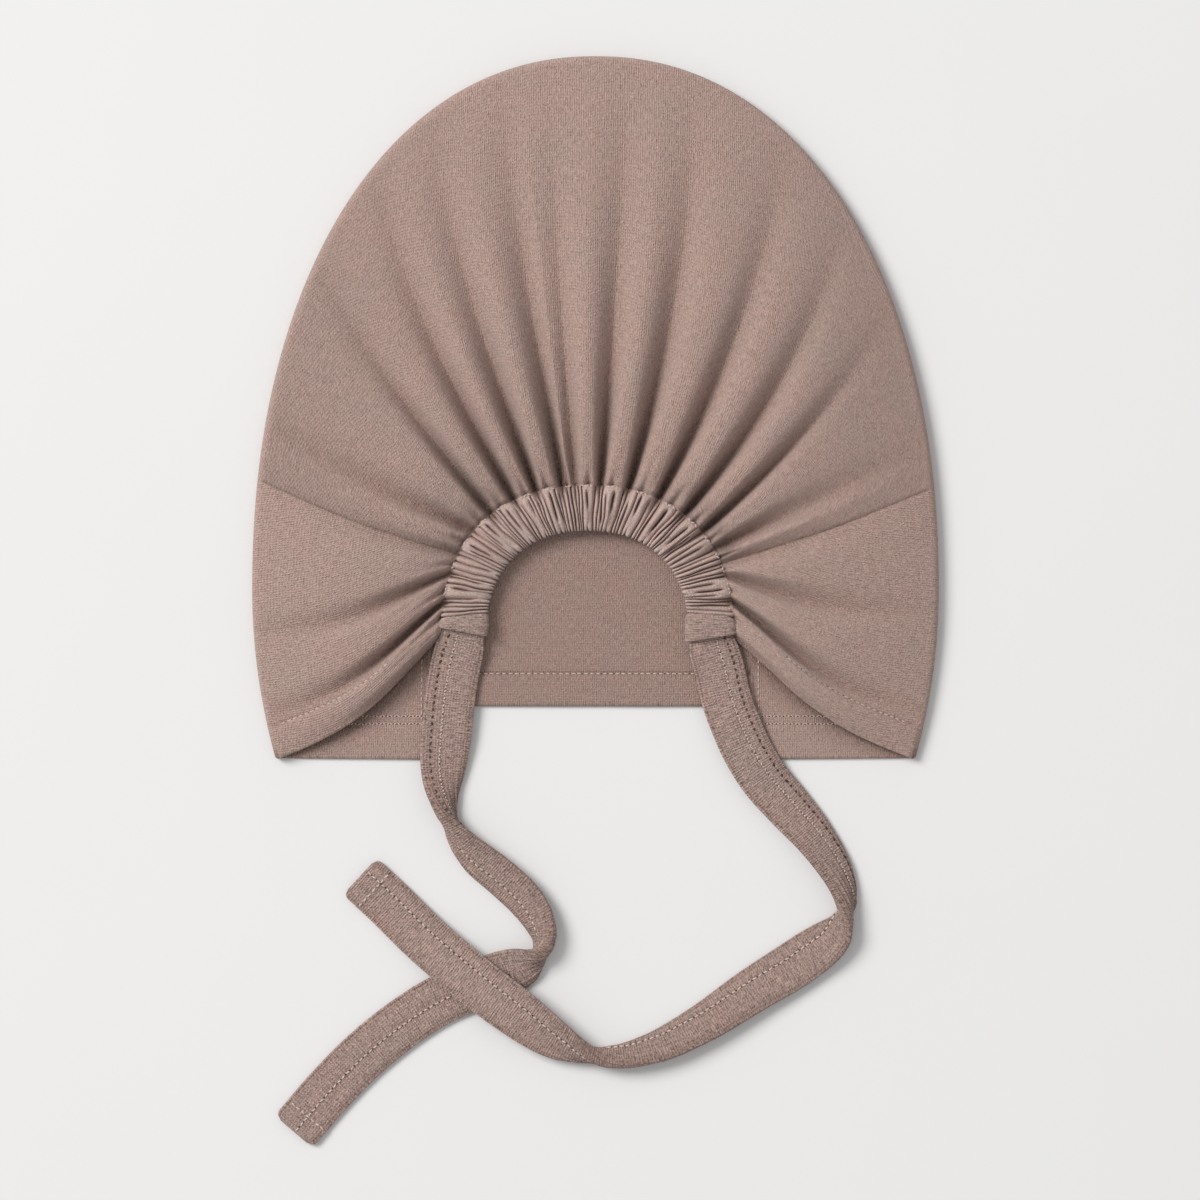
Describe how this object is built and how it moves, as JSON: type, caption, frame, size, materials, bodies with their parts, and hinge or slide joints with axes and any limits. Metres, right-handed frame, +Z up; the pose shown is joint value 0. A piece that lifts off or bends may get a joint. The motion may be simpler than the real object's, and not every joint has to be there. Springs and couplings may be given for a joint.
{
  "type": "underscarf cap",
  "caption": "Knit jersey under-cap lying flat, nape side up: gathered crown, turned flaps, ruffled nape channel and two loose tie bands.",
  "frame": {"origin": "middle of the cap's own bounding box, at the face that it rests on, without the tie bands", "axes": "+Z up, +Y from the nape hem to the top of the crown, +X to the right seen from above"},
  "size_m": [0.24, 0.3818, 0.0181],
  "materials": {
    "knit_jersey": "matte dusty taupe cotton jersey",
    "knit_band": "matte dusty taupe cotton jersey, folded into a flat band"
  },
  "bodies": {
    "root": {"crown": "knit_jersey", "side_panel_left": "knit_jersey", "side_panel_right": "knit_jersey", "forehead_panel": "knit_jersey", "gathered_casing": "knit_jersey", "casing_end_left": "knit_jersey", "casing_end_right": "knit_jersey", "tie_left": "knit_band", "tie_right": "knit_band"}
  },
  "joints": []
}
